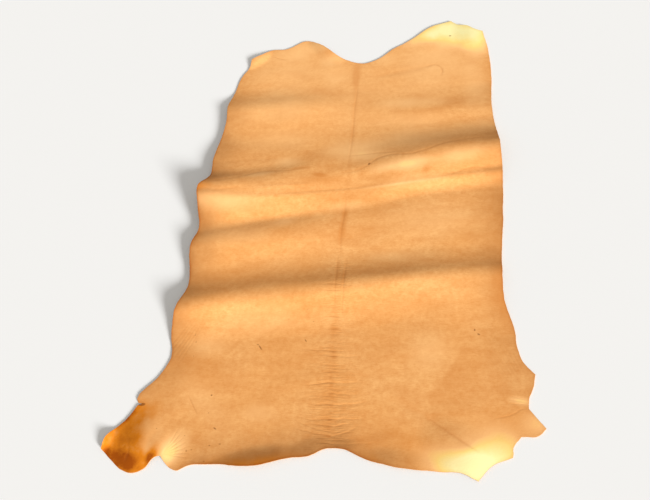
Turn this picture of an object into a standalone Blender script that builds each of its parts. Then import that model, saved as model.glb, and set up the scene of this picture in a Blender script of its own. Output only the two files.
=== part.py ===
"""A whole vegetable-tanned leather hide, lying loose on the floor with its folds across the back.

The hide is one sheet. Its trimmed edge is a run of smooth curves between a few sharp corners. Its skin
rises from the floor in long folds that cross the back, and in small lifts along the edge.
X runs across the hide, Y from the neck to the rump, and Z up from the floor. All sizes are in metres.
"""
from collections import namedtuple
from math import cos, radians, sin

import bpy
import numpy as np
from mathutils.geometry import delaunay_2d_cdt

THICKNESS = 0.0024

# Spacing of the mesh points.
EDGE_STEP = 0.016
COLUMN_STEP = 0.05
LEAST_COLUMN = 0.017
ROW_STEP = 0.036
EDGE_MARGIN = 0.010
EDGE_CLEARANCE = 0.009
FLANK_SEARCH_STEP = 0.002
LEAST_GAP = 0.007
LIFT_GAP = 0.014
FILLER_GAP = 0.018
WELD_DISTANCE = 1e-6

# Where points lie on an oval lift, as shares of its half length and half width.
LIFT_ALONG = (-0.75, -0.38, 0, 0.38, 0.75)
LIFT_ACROSS = (-0.7, 0, 0.7)

LEATHER_COLOUR = (0.80, 0.40, 0.13, 1.0)
LEATHER_ROUGHNESS = 0.55

# The edge, anticlockwise from above. A row is (x from the backbone, y from the neck edge), and a third
# value marks a sharp corner. The curve through the other rows is smooth.
SHARP = "sharp"
NECK = (
    (-0.452, -0.037, SHARP),
    (-0.435, -0.057),
    (-0.405, -0.072),
    (-0.370, -0.058),
    (-0.300, -0.052),
    (-0.195, -0.053),
    (-0.100, -0.028),
    (-0.055, -0.022),
    (-0.010, -0.001),
    (0.035, 0.000),
    (0.080, -0.018),
    (0.168, -0.038),
    (0.275, -0.043),
    (0.325, -0.044),
    (0.366, -0.061, SHARP),
)
RIGHT_FORELEG = (
    (0.400, -0.024),
    (0.450, -0.002, SHARP),
    (0.455, 0.024),
    (0.473, 0.049, SHARP),
    (0.515, 0.053),
    (0.534, 0.071, SHARP),
    (0.515, 0.095),
    (0.497, 0.119, SHARP),
    (0.500, 0.145),
    (0.511, 0.170),
    (0.520, 0.209, SHARP),
    (0.492, 0.242),
)
RIGHT_FLANK = (
    (0.480, 0.285),
    (0.478, 0.325),
    (0.456, 0.420),
    (0.455, 0.500),
    (0.470, 0.700),
    (0.477, 0.850),
    (0.474, 0.950),
    (0.460, 1.145),
    (0.467, 1.275),
    (0.461, 1.410),
)
RIGHT_RUMP = (
    (0.447, 1.495, SHARP),
    (0.425, 1.505),
    (0.392, 1.532),
    (0.360, 1.542),
    (0.337, 1.564, SHARP),
    (0.262, 1.540),
    (0.200, 1.488),
    (0.165, 1.462),
    (0.130, 1.442),
    (0.080, 1.397),
    (0.030, 1.375),
)
LEFT_RUMP = (
    (-0.050, 1.402),
    (-0.095, 1.437),
    (-0.150, 1.488),
    (-0.200, 1.515),
    (-0.285, 1.478),
    (-0.335, 1.479),
    (-0.370, 1.456),
    (-0.410, 1.432, SHARP),
    (-0.412, 1.400),
)
LEFT_FLANK = (
    (-0.435, 1.350),
    (-0.452, 1.265),
    (-0.463, 1.180),
    (-0.459, 1.150),
    (-0.474, 0.945),
    (-0.473, 0.850),
    (-0.496, 0.815),
    (-0.490, 0.760),
    (-0.475, 0.660),
    (-0.487, 0.610),
    (-0.472, 0.450),
    (-0.494, 0.365),
    (-0.495, 0.305),
    (-0.482, 0.235),
)
LEFT_FORELEG = (
    (-0.500, 0.193),
    (-0.553, 0.128, SHARP),
    (-0.556, 0.107),
    (-0.550, 0.102, SHARP),
    (-0.538, 0.100, SHARP),
    (-0.550, 0.096, SHARP),
    (-0.575, 0.055),
    (-0.603, 0.027),
    (-0.620, 0.003),
    (-0.625, -0.028, SHARP),
    (-0.590, -0.055),
    (-0.560, -0.076),
    (-0.525, -0.084),
    (-0.490, -0.070),
    (-0.468, -0.043),
)
EDGE = NECK + RIGHT_FORELEG + RIGHT_FLANK + RIGHT_RUMP + LEFT_RUMP + LEFT_FLANK + LEFT_FORELEG

# The folds. Each bend is a line across the hide. At five stations it has its y, its height above the floor
# and its turn. Between two bends the skin is straight from neck to rump, and it turns within `turn` of one.
STATIONS = (-0.50, -0.25, 0.0, 0.23, 0.47)
Bend = namedtuple("Bend", "name y height turn")
BENDS = (
    Bend(
        "shoulder ends",
        (0.315, 0.335, 0.360, 0.385, 0.330),
        (0.000, 0.000, 0.000, 0.000, 0.000),
        (0.055, 0.055, 0.055, 0.055, 0.055),
    ),
    Bend(
        "first crest",
        (0.388, 0.428, 0.457, 0.488, 0.508),
        (0.032, 0.028, 0.026, 0.024, 0.017),
        (0.026, 0.028, 0.024, 0.020, 0.022),
    ),
    Bend(
        "first trough",
        (0.486, 0.520, 0.540, 0.558, 0.566),
        (0.006, 0.003, 0.002, 0.001, 0.001),
        (0.042, 0.046, 0.044, 0.040, 0.034),
    ),
    Bend(
        "second crest",
        (0.618, 0.638, 0.672, 0.705, 0.705),
        (0.025, 0.023, 0.010, 0.006, 0.005),
        (0.020, 0.034, 0.040, 0.030, 0.030),
    ),
    Bend(
        "second trough",
        (0.665, 0.702, 0.732, 0.790, 0.814),
        (0.014, 0.008, 0.006, 0.003, 0.0025),
        (0.030, 0.014, 0.018, 0.018, 0.018),
    ),
    Bend(
        "third crest",
        (0.788, 0.772, 0.792, 0.822, 0.852),
        (0.045, 0.031, 0.014, 0.017, 0.018),
        (0.008, 0.008, 0.010, 0.010, 0.008),
    ),
    Bend(
        "dip",
        (0.806, 0.790, 0.810, 0.842, 0.872),
        (0.045, 0.0315, 0.0152, 0.0195, 0.0168),
        (0.008, 0.008, 0.010, 0.010, 0.008),
    ),
    Bend(
        "fourth crest",
        (0.822, 0.826, 0.866, 0.921, 0.942),
        (0.050, 0.034, 0.021, 0.034, 0.0435),
        (0.012, 0.018, 0.022, 0.028, 0.028),
    ),
    Bend(
        "fourth shelf",
        (0.846, 0.860, 0.930, 0.968, 0.983),
        (0.041, 0.030, 0.0155, 0.025, 0.0293),
        (0.012, 0.012, 0.024, 0.020, 0.020),
    ),
    Bend(
        "fourth foot",
        (0.876, 0.899, 0.998, 1.008, 1.022),
        (0.024, 0.0195, 0.008, 0.0115, 0.0125),
        (0.016, 0.018, 0.034, 0.026, 0.024),
    ),
    Bend(
        "rump begins",
        (1.045, 1.036, 1.060, 1.050, 1.062),
        (0.009, 0.008, 0.003, 0.003, 0.004),
        (0.045, 0.045, 0.035, 0.030, 0.032),
    ),
    Bend(
        "fifth crest",
        (1.175, 1.180, 1.165, 1.125, 1.135),
        (0.018, 0.016, 0.004, 0.007, 0.009),
        (0.025, 0.025, 0.025, 0.025, 0.025),
    ),
    Bend(
        "fifth foot",
        (1.255, 1.255, 1.240, 1.205, 1.230),
        (0.000, 0.000, 0.000, 0.000, 0.000),
        (0.030, 0.030, 0.030, 0.030, 0.030),
    ),
)

# Small lifts on top of the folds: soft ovals at x, y, with the long axis turned from +X in degrees.
Lift = namedtuple("Lift", "name x y half_length half_width turned height")
LIFTS = (
    Lift("left foreleg ridge", -0.510, -0.010, 0.100, 0.086, 105, 0.009),
    Lift("left foreleg rim", -0.640, -0.004, 0.075, 0.042, 70, 0.016),
    Lift("left foreleg pinch", -0.455, -0.030, 0.070, 0.046, 92, 0.004),
    Lift("right cheek", 0.335, 0.000, 0.130, 0.080, 150, 0.009),
    Lift("neck edge left", -0.170, -0.056, 0.180, 0.062, 8, 0.015),
    Lift("neck edge middle", 0.010, -0.014, 0.120, 0.055, 178, 0.009),
    Lift("neck edge right", 0.170, -0.042, 0.130, 0.055, 175, 0.006),
    Lift("tail side", -0.120, 1.465, 0.110, 0.050, 135, 0.008),
    Lift("right rump corner", 0.420, 1.480, 0.120, 0.080, 110, 0.010),
    Lift("left rump corner", -0.395, 1.440, 0.080, 0.050, 40, 0.008),
)


def clear_scene():
    for thing in list(bpy.context.scene.objects):
        bpy.data.objects.remove(thing, do_unlink=True)


def smooth(at, values, place):
    """Read a smooth curve through values, given at the places `at`, and held level outside them."""
    at = np.asarray(at, float)
    values = np.asarray(values, float)
    slope = np.gradient(values, at, axis=0)
    place = np.clip(place, at[0], at[-1])
    span = np.clip(np.searchsorted(at, place, side="right") - 1, 0, len(at) - 2)
    length = at[span + 1] - at[span]
    part = (place - at[span]) / length
    if values.ndim == 2:
        length = length[:, None]
        part = part[:, None]
    start = (1 + 2 * part) * (1 - part) ** 2 * values[span]
    leaving = part * (1 - part) ** 2 * length * slope[span]
    end = part**2 * (3 - 2 * part) * values[span + 1]
    arriving = part**2 * (part - 1) * length * slope[span + 1]
    return start + leaving + end + arriving


def edge_points():
    """The hide's edge as evenly spaced points, with every sharp corner kept."""
    corners = [k for k, row in enumerate(EDGE) if row[-1] is SHARP]
    places = np.array([row[:2] for row in EDGE])
    points = []
    for first, last in zip(corners, corners[1:] + [corners[0] + len(EDGE)]):
        run = places[np.arange(first, last + 1) % len(EDGE)]
        at = np.concatenate([[0], np.cumsum(np.linalg.norm(np.diff(run, axis=0), axis=1))])
        steps = max(1, round(at[-1] / EDGE_STEP))
        points.append(smooth(at, run, np.linspace(0, at[-1], steps + 1)[:-1]))
    return np.concatenate(points)


def turned_ramp(distance, turn):
    """Zero before a bend, the distance past it beyond, and a round turn in between."""
    turning = (distance + turn) ** 2 / (4 * turn)
    return np.where(distance <= -turn, 0, np.where(distance >= turn, distance, turning))


def fold_height(x, y):
    """The height of the long folds: straight stretches, each steeper or flatter past its bend."""
    lines = [smooth(STATIONS, bend.y, x) for bend in BENDS]
    heights = [smooth(STATIONS, bend.height, x) for bend in BENDS]
    total = np.zeros_like(x)
    slope_before = 0
    for k, bend in enumerate(BENDS):
        slope_after = 0
        if k + 1 < len(BENDS):
            slope_after = (heights[k + 1] - heights[k]) / (lines[k + 1] - lines[k])
        turn = smooth(STATIONS, bend.turn, x)
        total = total + (slope_after - slope_before) * turned_ramp(y - lines[k], turn)
        slope_before = slope_after
    return total


def lift_height(x, y):
    """The height of the small oval lifts."""
    total = np.zeros_like(x)
    for lift in LIFTS:
        c, s = cos(radians(lift.turned)), sin(radians(lift.turned))
        along = c * (x - lift.x) + s * (y - lift.y)
        across = c * (y - lift.y) - s * (x - lift.x)
        spread = (along / lift.half_length) ** 2 + (across / lift.half_width) ** 2
        total = total + lift.height * np.clip(1 - spread, 0, None) ** 2
    return total


def skin_height(x, y):
    """The underside's height above the floor."""
    return np.maximum(fold_height(x, y) + lift_height(x, y), 0)


def depth_inside(points, edge):
    """Each point's distance from the edge, negative outside it."""
    start = edge[None]
    step = np.roll(edge, -1, axis=0)[None] - start
    away = points[:, None] - start
    share = np.clip((away * step).sum(2) / (step**2).sum(2), 0, 1)
    nearest = np.linalg.norm(away - share[..., None] * step, axis=2).min(1)
    above = start[..., 1] > points[:, None, 1]
    next_above = (start + step)[..., 1] > points[:, None, 1]
    rise = np.where(step[..., 1] == 0, 1, step[..., 1])
    meets = start[..., 0] + (points[:, None, 1] - start[..., 1]) * step[..., 0] / rise
    crossings = ((above != next_above) & (points[:, None, 0] < meets)).sum(1)
    return np.where(crossings % 2 == 1, nearest, -nearest)


def fold_line(bend, side, edge):
    """Points along a bend, or along one side of its turn, a column apart and reaching close to both flanks."""

    def on_line(x):
        offset = side * smooth(STATIONS, bend.turn, x)
        return np.stack([x, smooth(STATIONS, bend.y, x) + offset], axis=1)

    x = np.arange(edge[:, 0].min(), edge[:, 0].max(), FLANK_SEARCH_STEP)
    x = x[depth_inside(on_line(x), edge) > EDGE_MARGIN]
    columns = np.arange(np.ceil(x[0] / COLUMN_STEP), x[-1] / COLUMN_STEP) * COLUMN_STEP
    columns = columns[(columns - x[0] > LEAST_COLUMN) & (x[-1] - columns > LEAST_COLUMN)]
    return on_line(np.concatenate([[x[0]], columns, [x[-1]]]))


def lift_points(lift):
    """A few points over an oval lift."""
    c, s = cos(radians(lift.turned)), sin(radians(lift.turned))
    points = []
    for along in LIFT_ALONG:
        for across in LIFT_ACROSS:
            u, v = along * lift.half_length, across * lift.half_width
            points.append((lift.x + c * u - s * v, lift.y + s * u + c * v))
    return np.array(points)


def filler_points(edge):
    """A plain grid over the whole hide."""
    low, high = edge.min(axis=0), edge.max(axis=0)
    x = np.arange(np.ceil(low[0] / COLUMN_STEP), high[0] / COLUMN_STEP) * COLUMN_STEP
    y = np.arange(np.ceil(low[1] / ROW_STEP), high[1] / ROW_STEP) * ROW_STEP
    return np.stack(np.meshgrid(x, y), axis=-1).reshape(-1, 2)


def skin_mesh():
    """Triangles over the hide, with their edges along the folds' crests and troughs."""
    edge = edge_points()
    inner = []
    crest_edges = []

    def add(candidates, gap, joined=False):
        last = None
        for place, depth in zip(candidates, depth_inside(candidates, edge)):
            crowded = inner and np.linalg.norm(np.array(inner) - place, axis=1).min() < gap
            if crowded or depth < EDGE_CLEARANCE:
                last = None
                continue
            inner.append(tuple(place))
            if joined and last is not None:
                crest_edges.append((last, len(edge) + len(inner) - 1))
            last = len(edge) + len(inner) - 1

    for bend in BENDS:
        add(fold_line(bend, 0, edge), LEAST_GAP, joined=True)
    for bend in BENDS:
        for side in (-1, 1):
            add(fold_line(bend, side, edge), LEAST_GAP)
    for lift in LIFTS:
        add(lift_points(lift), LIFT_GAP)
    add(filler_points(edge), FILLER_GAP)

    points = [tuple(place) for place in edge] + inner
    rim = [(k, (k + 1) % len(edge)) for k in range(len(edge))]
    found = delaunay_2d_cdt(points, rim + crest_edges, [], 0, WELD_DISTANCE, False)
    flat = np.array([tuple(place) for place in found[0]])
    faces = np.array([tuple(face) for face in found[2]])
    faces = faces[depth_inside(flat[faces].mean(axis=1), edge) > 0]
    height = skin_height(flat[:, 0], flat[:, 1])
    middle = (edge.min(axis=0) + edge.max(axis=0)) / 2
    placed = np.column_stack([flat - middle, height])
    mesh = bpy.data.meshes.new("hide")
    mesh.from_pydata(placed.tolist(), [], faces.tolist())
    mesh.validate()
    return mesh


def leather():
    material = bpy.data.materials.new("leather")
    material.use_nodes = True
    shader = material.node_tree.nodes["Principled BSDF"]
    shader.inputs["Base Color"].default_value = LEATHER_COLOUR
    shader.inputs["Roughness"].default_value = LEATHER_ROUGHNESS
    shader.inputs["Metallic"].default_value = 0.0
    return material


def build_hide():
    mesh = skin_mesh()
    mesh.materials.append(leather())
    mesh.shade_smooth()
    hide = bpy.data.objects.new("hide", mesh)
    bpy.context.scene.collection.objects.link(hide)
    sheet = hide.modifiers.new("sheet", "SOLIDIFY")
    sheet.thickness = THICKNESS
    sheet.offset = 1
    return hide


clear_scene()
build_hide()
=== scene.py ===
# %% [markdown]
# # A whole leather hide on the floor
#
# A hide is the skin of one animal, tanned and trimmed. This one is vegetable-tanned and undyed, so it is
# honey coloured, smooth on its grain side and rough on its flesh side. It was folded for transport, and it
# still holds those folds as long soft crests across its back. We look down on it from the neck.
#
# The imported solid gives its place, its edge and its size. It could be shown as it is, but its triangles
# are large and it has no wrinkles. So we make one new sheet on the same folds, with a fine skin.

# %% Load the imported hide
from collections import namedtuple
from math import cos, hypot, radians, sin

import bmesh
import bpy
import numpy as np
from mathutils import Matrix, Vector, noise
from mathutils.geometry import delaunay_2d_cdt
from mathutils.kdtree import KDTree


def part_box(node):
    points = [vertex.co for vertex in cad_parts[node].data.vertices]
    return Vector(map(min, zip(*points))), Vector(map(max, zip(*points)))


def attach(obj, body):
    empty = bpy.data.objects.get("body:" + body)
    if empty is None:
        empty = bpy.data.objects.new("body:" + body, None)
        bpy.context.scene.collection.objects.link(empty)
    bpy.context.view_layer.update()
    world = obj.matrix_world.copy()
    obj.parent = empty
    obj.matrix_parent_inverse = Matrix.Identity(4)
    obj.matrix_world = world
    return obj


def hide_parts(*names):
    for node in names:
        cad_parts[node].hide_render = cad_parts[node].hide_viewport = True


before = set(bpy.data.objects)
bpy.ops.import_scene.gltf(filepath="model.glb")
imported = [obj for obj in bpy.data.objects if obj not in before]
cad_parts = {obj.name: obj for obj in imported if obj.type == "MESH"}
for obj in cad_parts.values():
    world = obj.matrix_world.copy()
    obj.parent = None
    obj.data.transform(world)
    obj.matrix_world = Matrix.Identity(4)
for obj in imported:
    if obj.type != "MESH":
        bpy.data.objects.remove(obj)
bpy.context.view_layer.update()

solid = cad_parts["hide"]
low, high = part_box("hide")
print("solid hide:", [round(size, 3) for size in high - low], "m")

# %% [markdown]
# ## Where things are on a hide
#
# A tanner finds any place on a hide from its backbone and its neck edge. All the tables below use those two:
# x is measured from the backbone, and y from the middle of the neck edge towards the rump. The left
# foreleg reaches furthest from the backbone and the right rump lobe furthest from the neck, so the solid's
# box tells where the backbone and the neck edge are.

# %% Backbone and neck
LEFT_FORELEG_REACH = 0.625
RUMP_REACH = 1.564
THICKNESS = 0.0024
backbone_and_neck = np.array([low.x + LEFT_FORELEG_REACH, high.y - RUMP_REACH])
print("backbone at x", round(backbone_and_neck[0], 4), "and neck edge at y", round(backbone_and_neck[1], 4))


# %% [markdown]
# ## The trimmed edge
#
# The knife left smooth curves with a few sharp corners. The solid already has that outline, so we read it
# instead of drawing it again: its underside and its wall meet along one ring of edges. A smooth curve is
# run through the ring between the sharp corners, and small noise then gives the cut its unsteady hand.

# %% A smooth curve through given values
def smooth(at, values, place):
    """Read a smooth curve through values, given at the places `at`, and held level outside them."""
    at = np.asarray(at, float)
    values = np.asarray(values, float)
    slope = np.gradient(values, at, axis=0)
    place = np.clip(place, at[0], at[-1])
    span = np.clip(np.searchsorted(at, place, side="right") - 1, 0, len(at) - 2)
    length = at[span + 1] - at[span]
    part = (place - at[span]) / length
    if values.ndim == 2:
        length = length[:, None]
        part = part[:, None]
    start = (1 + 2 * part) * (1 - part) ** 2 * values[span]
    leaving = part * (1 - part) ** 2 * length * slope[span]
    end = part**2 * (3 - 2 * part) * values[span + 1]
    arriving = part**2 * (part - 1) * length * slope[span + 1]
    return start + leaving + end + arriving


# %% Read the ring where the solid's underside meets its wall
LOOKS_DOWN = -0.5


def solid_ring(thing):
    """The solid's lower rim, anticlockwise from above, measured from the backbone and the neck."""
    shell = bmesh.new()
    shell.from_mesh(thing.data)
    bmesh.ops.remove_doubles(shell, verts=shell.verts, dist=1e-5)
    shell.normal_update()
    neighbours = {}
    for edge in shell.edges:
        if sum(face.normal.z < LOOKS_DOWN for face in edge.link_faces) == 1:
            a, b = edge.verts
            neighbours.setdefault(a.index, []).append(b.index)
            neighbours.setdefault(b.index, []).append(a.index)
    places = {vert.index: (vert.co.x, vert.co.y) for vert in shell.verts}
    shell.free()
    first = min(neighbours)
    ring = [first, neighbours[first][0]]
    while ring[-1] != first:
        ring.append(next(k for k in neighbours[ring[-1]] if k != ring[-2]))
    ring = np.array([places[k] for k in ring[:-1]]) - backbone_and_neck
    after = np.roll(ring, -1, axis=0)
    turns_left = (ring[:, 0] * after[:, 1] - after[:, 0] * ring[:, 1]).sum() > 0
    return ring if turns_left else ring[::-1]


rough_ring = solid_ring(solid)
print("rim points on the solid:", len(rough_ring))

# %% Refine the ring and let the knife wander
EDGE_STEP = 0.0032
CORNER_TURN = radians(38)
KNIFE_WANDER = ((0.045, 0.0011), (0.014, 0.0007), (0.005, 0.0003))
KNIFE_SEED = 3.1
RAGGED_CHEEK = (0.462, 0.022, 0.045, 0.0022)
RAG_SIZE = 0.007
RAG_SEED = 8.4


def noise_at(x, y, size, seed=0.0):
    """Smooth noise from -1 to 1, with lumps about `size` metres across."""
    return np.array([noise.noise((a / size, b / size, seed)) for a, b in zip(x, y)])


def fine_ring(ring):
    before = ring - np.roll(ring, 1, axis=0)
    after = np.roll(before, -1, axis=0)
    turn = np.arctan2(before[:, 0] * after[:, 1] - before[:, 1] * after[:, 0], (before * after).sum(axis=1))
    corners = np.flatnonzero(np.abs(turn) > CORNER_TURN)
    points = []
    for first, last in zip(corners, np.append(corners[1:], corners[0] + len(ring))):
        run = ring[np.arange(first, last + 1) % len(ring)]
        at = np.concatenate([[0], np.cumsum(np.linalg.norm(np.diff(run, axis=0), axis=1))])
        steps = max(2, round(at[-1] / EDGE_STEP))
        points.append(smooth(at, run, np.linspace(0, at[-1], steps + 1)[:-1]))
    return np.concatenate(points)


def outward(ring):
    """Each rim point's level direction away from the hide."""
    along = np.roll(ring, -1, axis=0) - np.roll(ring, 1, axis=0)
    along /= np.linalg.norm(along, axis=1)[:, None]
    return np.stack([along[:, 1], -along[:, 0]], axis=1)


rim = fine_ring(rough_ring)
wander = sum(depth * noise_at(rim[:, 0], rim[:, 1], size, KNIFE_SEED) for size, depth in KNIFE_WANDER)
cheek_x, cheek_y, cheek_reach, cheek_depth = RAGGED_CHEEK
raggedness = np.clip(1 - np.hypot(rim[:, 0] - cheek_x, rim[:, 1] - cheek_y) / cheek_reach, 0, 1)
wander += cheek_depth * raggedness * noise_at(rim[:, 0], rim[:, 1], RAG_SIZE, RAG_SEED)
rim = rim + wander[:, None] * outward(rim)
print("rim points on the new sheet:", len(rim))

# %% [markdown]
# ## The folds
#
# Stiff leather folds in straight panels with a tight turn between them, more like card than like cloth.
# A cloth simulation would give soft random folds in other places. So each crest and trough is a row of a
# table: where it lies and how high it stands at five stations across the back, and how tightly it turns.
# Between two rows the skin is straight, which is what makes the crests read as old folds.

# %% Crests and troughs
STATIONS = (-0.50, -0.25, 0.0, 0.23, 0.47)
Bend = namedtuple("Bend", "name y height turn")
BENDS = (
    Bend("shoulder ends", (0.315, 0.335, 0.36, 0.385, 0.33), (0, 0, 0, 0, 0),
         (0.055, 0.055, 0.055, 0.055, 0.055)),
    Bend("first crest", (0.388, 0.428, 0.457, 0.488, 0.508), (0.032, 0.028, 0.026, 0.024, 0.017),
         (0.026, 0.028, 0.024, 0.02, 0.022)),
    Bend("first trough", (0.486, 0.52, 0.54, 0.558, 0.566), (0.006, 0.003, 0.002, 0.001, 0.001),
         (0.042, 0.046, 0.044, 0.04, 0.034)),
    Bend("second crest", (0.618, 0.638, 0.672, 0.705, 0.705), (0.025, 0.023, 0.01, 0.006, 0.005),
         (0.02, 0.034, 0.04, 0.03, 0.03)),
    Bend("second trough", (0.665, 0.702, 0.732, 0.79, 0.814), (0.014, 0.008, 0.006, 0.003, 0.0025),
         (0.03, 0.014, 0.018, 0.018, 0.018)),
    Bend("third crest", (0.788, 0.772, 0.792, 0.822, 0.852), (0.045, 0.031, 0.014, 0.017, 0.018),
         (0.008, 0.008, 0.01, 0.01, 0.008)),
    Bend("dip", (0.806, 0.79, 0.81, 0.842, 0.872), (0.045, 0.0315, 0.0152, 0.0195, 0.0168),
         (0.008, 0.008, 0.01, 0.01, 0.008)),
    Bend("fourth crest", (0.822, 0.826, 0.866, 0.921, 0.942), (0.05, 0.034, 0.021, 0.034, 0.0435),
         (0.012, 0.018, 0.022, 0.028, 0.028)),
    Bend("fourth shelf", (0.846, 0.86, 0.93, 0.968, 0.983), (0.041, 0.03, 0.0155, 0.025, 0.0293),
         (0.012, 0.012, 0.024, 0.02, 0.02)),
    Bend("fourth foot", (0.876, 0.899, 0.998, 1.008, 1.022), (0.024, 0.0195, 0.008, 0.0115, 0.0125),
         (0.016, 0.018, 0.034, 0.026, 0.024)),
    Bend("rump begins", (1.045, 1.036, 1.06, 1.05, 1.062), (0.009, 0.008, 0.003, 0.003, 0.004),
         (0.045, 0.045, 0.035, 0.03, 0.032)),
    Bend("fifth crest", (1.175, 1.18, 1.165, 1.125, 1.135), (0.018, 0.016, 0.004, 0.007, 0.009),
         (0.025, 0.025, 0.025, 0.025, 0.025)),
    Bend("fifth foot", (1.255, 1.255, 1.24, 1.205, 1.23), (0, 0, 0, 0, 0),
         (0.03, 0.03, 0.03, 0.03, 0.03)),
)


def turned_ramp(distance, turn):
    """Zero before a bend, the distance past it beyond, and a round turn in between."""
    turning = (distance + turn) ** 2 / (4 * turn)
    return np.where(distance <= -turn, 0, np.where(distance >= turn, distance, turning))


def fold_height(x, y):
    """The height of the long folds: straight stretches, each steeper or flatter past its bend."""
    lines = [smooth(STATIONS, bend.y, x) for bend in BENDS]
    heights = [smooth(STATIONS, bend.height, x) for bend in BENDS]
    total = np.zeros_like(x)
    slope_before = 0
    for k, bend in enumerate(BENDS):
        slope_after = 0
        if k + 1 < len(BENDS):
            slope_after = (heights[k + 1] - heights[k]) / (lines[k + 1] - lines[k])
        turn = smooth(STATIONS, bend.turn, x)
        total = total + (slope_after - slope_before) * turned_ramp(y - lines[k], turn)
        slope_before = slope_after
    return total


# %% [markdown]
# ## Lifts at the edge
#
# The thin ends of a hide never lie quite flat. The foreleg flaps curl, the neck edge stands up a little, and
# the corners of the rump bow. Each lift is a soft oval: a centre, two half sizes, a turn and a height.

# %% Soft ovals
Oval = namedtuple("Oval", "name x y half_length half_width turned amount")
LIFTS = (
    Oval("left foreleg ridge", -0.51, -0.01, 0.1, 0.086, 105, 0.009),
    Oval("left foreleg rim", -0.64, -0.004, 0.075, 0.042, 70, 0.016),
    Oval("left foreleg pinch", -0.455, -0.03, 0.07, 0.046, 92, 0.004),
    Oval("right cheek", 0.335, 0, 0.13, 0.08, 150, 0.006),
    Oval("neck edge left", -0.17, -0.056, 0.18, 0.062, 8, 0.012),
    Oval("neck edge middle", 0.01, -0.014, 0.12, 0.055, 178, 0.005),
    Oval("neck edge right", 0.17, -0.042, 0.13, 0.055, 175, 0.006),
    Oval("tail side", -0.12, 1.465, 0.11, 0.05, 135, 0.008),
    Oval("right rump corner", 0.42, 1.48, 0.12, 0.08, 110, 0.005),
    Oval("left rump corner", -0.395, 1.44, 0.08, 0.05, 40, 0.008),
)


def ovals(rows, x, y):
    """The sum of soft ovals at each place."""
    total = np.zeros_like(x)
    for row in rows:
        c, s = cos(radians(row.turned)), sin(radians(row.turned))
        along = c * (x - row.x) + s * (y - row.y)
        across = c * (y - row.y) - s * (x - row.x)
        spread = (along / row.half_length) ** 2 + (across / row.half_width) ** 2
        total = total + row.amount * np.clip(1 - spread, 0, None) ** 2
    return total


# %% Slow waves, so that no panel is quite straight
WAVES = ((0.120, 0.0011), (0.050, 0.0006))
WAVE_STRETCH = 2.2
WAVE_SEED = 1.7


def underside(x, y):
    """The height of the flesh side above the floor."""
    waves = sum(height * noise_at(x / WAVE_STRETCH, y, size, WAVE_SEED) for size, height in WAVES)
    return np.maximum(fold_height(x, y) + ovals(LIFTS, x, y) + waves, 0)


# %% [markdown]
# ## Growth wrinkles
#
# The neck creases while the animal lives, and those growth wrinkles stay in the grain. They cross the
# backbone like ribs, fine and shallow, and curve up at their ends near the neck edge. They are grooves, so
# a low light shows each as a dark line with a bright one behind it. Bump alone would vanish from the side,
# so the deeper ones are real grooves in the mesh.

# %% The wrinkles that cross the backbone
Wrinkle = namedtuple("Wrinkle", "y left right left_rise right_rise depth")
WRINKLES = (
    Wrinkle(0.013, 0.05, 0.135, 0.004, 0.009, 0.0008),
    Wrinkle(0.022, 0.03, 0.07, 0.004, 0.01, 0.0004),
    Wrinkle(0.033, 0.11, 0.072, 0.02, 0.03, 0.0012),
    Wrinkle(0.042, 0.125, 0.045, 0.042, 0.012, 0.0008),
    Wrinkle(0.058, 0.062, 0.062, 0.004, 0.016, 0.0013),
    Wrinkle(0.066, 0.12, 0.02, 0.02, 0.002, 0.0004),
    Wrinkle(0.076, 0.066, 0.088, -0.006, 0.006, 0.0013),
    Wrinkle(0.092, 0.03, 0.034, 0, 0.002, 0.0006),
    Wrinkle(0.101, 0.016, 0.028, 0, 0, 0.0005),
    Wrinkle(0.114, 0.068, 0.096, -0.002, 0.012, 0.0015),
    Wrinkle(0.127, 0.095, 0.014, 0.002, 0.002, 0.0004),
    Wrinkle(0.137, 0.085, 0.02, -0.004, 0, 0.0007),
    Wrinkle(0.145, 0.02, 0.066, 0, -0.003, 0.0011),
    Wrinkle(0.156, 0.018, 0.014, 0, 0.001, 0.001),
    Wrinkle(0.174, 0.084, 0.074, -0.011, 0.006, 0.0014),
    Wrinkle(0.19, 0.024, 0.018, 0.002, 0, 0.0007),
    Wrinkle(0.205, 0.044, 0.022, -0.005, 0, 0.0008),
    Wrinkle(0.214, 0.014, 0.06, 0, 0.004, 0.0006),
    Wrinkle(0.223, 0.088, 0.012, 0.006, 0, 0.0006),
    Wrinkle(0.238, 0.026, 0.034, 0.001, 0.001, 0.0004),
    Wrinkle(0.25, 0.058, 0.074, 0.002, 0.001, 0.0009),
    Wrinkle(0.264, 0.122, 0.026, 0.005, 0, 0.0008),
    Wrinkle(0.275, 0.07, 0.016, -0.004, 0, 0.0007),
    Wrinkle(0.291, 0.046, 0.02, 0.004, 0, 0.0004),
    Wrinkle(0.312, 0.03, 0.034, 0, 0, 0.0004),
    Wrinkle(0.33, 0.04, 0.04, 0, 0.002, 0.0006),
    Wrinkle(0.366, 0.066, 0.03, -0.003, 0.002, 0.0006),
    Wrinkle(0.394, 0.092, 0.03, 0, 0, 0.0005),
    Wrinkle(0.426, 0.02, 0.062, 0, 0.002, 0.0006),
    Wrinkle(0.44, 0.072, 0.02, 0.002, 0, 0.0008),
    Wrinkle(0.46, 0.072, 0.034, 0.001, 0.003, 0.001),
    Wrinkle(0.515, 0.03, 0.024, 0, 0, 0.0006),
    Wrinkle(0.524, 0.036, 0.026, 0, 0, 0.0006),
    Wrinkle(0.531, 0.026, 0.036, 0.001, 0, 0.0007),
    Wrinkle(0.54, 0.04, 0.024, 0, 0, 0.0006),
    Wrinkle(0.547, 0.02, 0.028, 0, 0.001, 0.0005),
    Wrinkle(0.59, 0.04, 0.02, 0, 0, 0.0004),
    Wrinkle(0.625, 0.022, 0.04, 0, 0, 0.0004),
)
WRINKLE_WIDTH = 0.0015
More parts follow.
